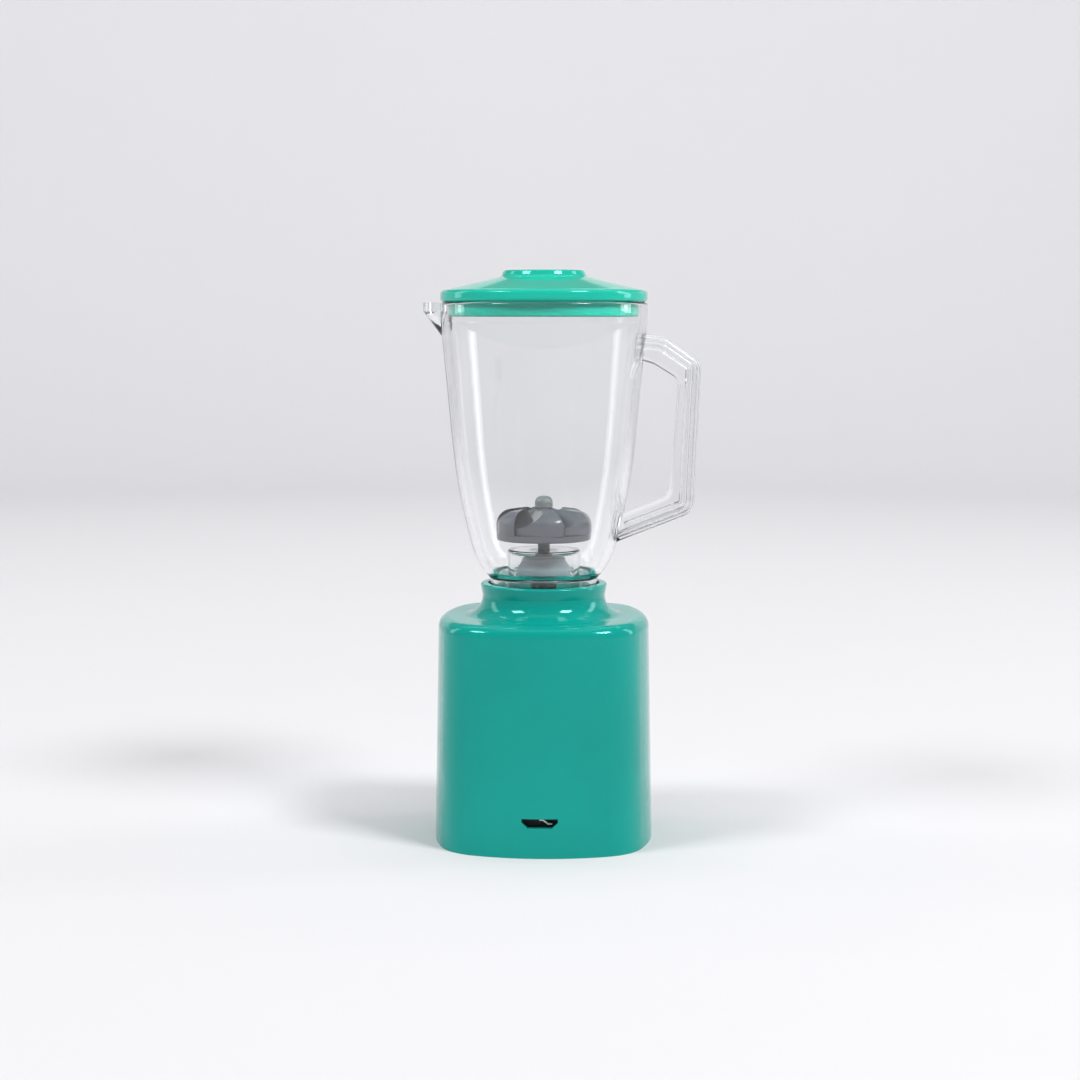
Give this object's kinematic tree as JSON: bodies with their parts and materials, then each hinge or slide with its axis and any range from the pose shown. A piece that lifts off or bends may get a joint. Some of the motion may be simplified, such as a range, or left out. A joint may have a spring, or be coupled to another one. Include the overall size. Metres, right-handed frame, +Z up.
{
  "type": "toy blender",
  "caption": "Battery toy blender: a square base with a collar and push keys, a clear tapered jar with loop handle, spout and finned rotor, and a domed lid.",
  "frame": {"origin": "middle of the base's footprint, on the surface it stands on, on the axis of the jar and blade", "axes": "+Z up along the jar's axis; -Y towards the keys on the front; +Y the plain back with the small slot; -X towards the handle; +X towards the spout"},
  "size_m": [0.0617, 0.0502, 0.127],
  "materials": {
    "teal_housing": "glossy teal moulding",
    "teal_lid": "glossy teal moulding, slightly greener",
    "clear_jar": "clear polystyrene, polished",
    "charcoal_blade": "dark grey moulding, semi-gloss",
    "grey_cap": "grey moulding",
    "black_chassis": "black moulding, fine texture",
    "black_nylon": "black nylon",
    "dark_hub": "dark grey nylon",
    "white_keys": "white moulding",
    "natural_nylon": "natural nylon",
    "motor_steel": "zinc-plated drawn steel",
    "bright_steel": "ground steel",
    "screw_steel": "nickel-plated steel",
    "nickel_contact": "nickel-plated spring steel",
    "lamination_steel": "stacked core sheets",
    "copper_wire": "enamelled copper",
    "sintered_bronze": "oil-filled bush",
    "magnet_ferrite": "ferrite",
    "fibre_board": "brown paper-phenolic board",
    "switch_black": "black nylon",
    "component_mix": "resin and moulded parts",
    "lead_red": "red PVC",
    "lead_black": "black PVC",
    "seal_rubber": "soft rubber"
  },
  "bodies": {
    "base": {"housing_shell": "teal_housing", "bottom_plate": "black_chassis", "bottom_screws": "screw_steel", "battery_box": "black_chassis", "contact_plate": "nickel_contact", "contact_spring": "nickel_contact", "motor_can": "motor_steel", "motor_end_cap": "natural_nylon", "motor_bearings": "sintered_bronze", "motor_magnets": "magnet_ferrite", "motor_brushes": "copper_wire", "motor_bracket": "black_chassis", "bracket_screws": "screw_steel", "switch_board": "fibre_board", "switch_bodies": "switch_black", "board_components": "component_mix", "leads_red": "lead_red", "leads_black": "lead_black", "rear_clip": "nickel_contact"},
    "motor_rotor": {"motor_shaft": "bright_steel", "armature_core": "lamination_steel", "armature_windings": "copper_wire", "commutator": "copper_wire", "drive_dog": "black_nylon"},
    "jar": {"jar": "clear_jar", "shaft_bush": "dark_hub", "shaft_seal": "seal_rubber"},
    "blade_unit": {"driven_coupling": "dark_hub", "blade_shaft": "bright_steel", "blade_impeller": "charcoal_blade", "blade_cap": "grey_cap", "thrust_washer": "bright_steel"},
    "lid": {"lid": "teal_lid"},
    "button_off": {"key_off": "white_keys", "plunger_off": "natural_nylon"},
    "button_low": {"key_low": "white_keys", "plunger_low": "natural_nylon"},
    "button_high": {"key_high": "white_keys", "plunger_high": "natural_nylon"},
    "battery_door": {"battery_door": "black_chassis", "door_contact": "nickel_contact"},
    "door_screw": {"door_screw": "screw_steel"}
  },
  "joints": [
    {"name": "motor_spin", "type": "hinge", "parent": "base", "child": "motor_rotor", "pos_m": [0, 0, 0], "axis": [0, 0, 1], "continuous": true},
    {"name": "jar_lift", "type": "slide", "parent": "base", "child": "jar", "axis": [0, 0, 1], "range_m": [0, 0.03]},
    {"name": "blade_spin", "type": "hinge", "parent": "jar", "child": "blade_unit", "pos_m": [0, 0, 0.06], "axis": [0, 0, 1], "continuous": true},
    {"name": "lid_lift", "type": "slide", "parent": "jar", "child": "lid", "axis": [0, 0, 1], "range_m": [0, 0.03]},
    {"name": "off_press", "type": "slide", "parent": "base", "child": "button_off", "axis": [0, 1, 0], "range_m": [0, 0.001], "stiffness_N_per_m": 400},
    {"name": "low_press", "type": "slide", "parent": "base", "child": "button_low", "axis": [0, 1, 0], "range_m": [0, 0.001], "stiffness_N_per_m": 400},
    {"name": "high_press", "type": "slide", "parent": "base", "child": "button_high", "axis": [0, 1, 0], "range_m": [0, 0.001], "stiffness_N_per_m": 400},
    {"name": "door_off", "type": "slide", "parent": "base", "child": "battery_door", "axis": [0, 0, -1], "range_m": [0, 0.025]},
    {"name": "door_screw_turn", "type": "hinge", "parent": "battery_door", "child": "door_screw", "pos_m": [0, 0.0042, 0.004], "axis": [0, 0, 1], "continuous": true}
  ],
  "couplings": [
    {"joint": "blade_spin", "follows": "motor_spin", "ratio": 1}
  ]
}
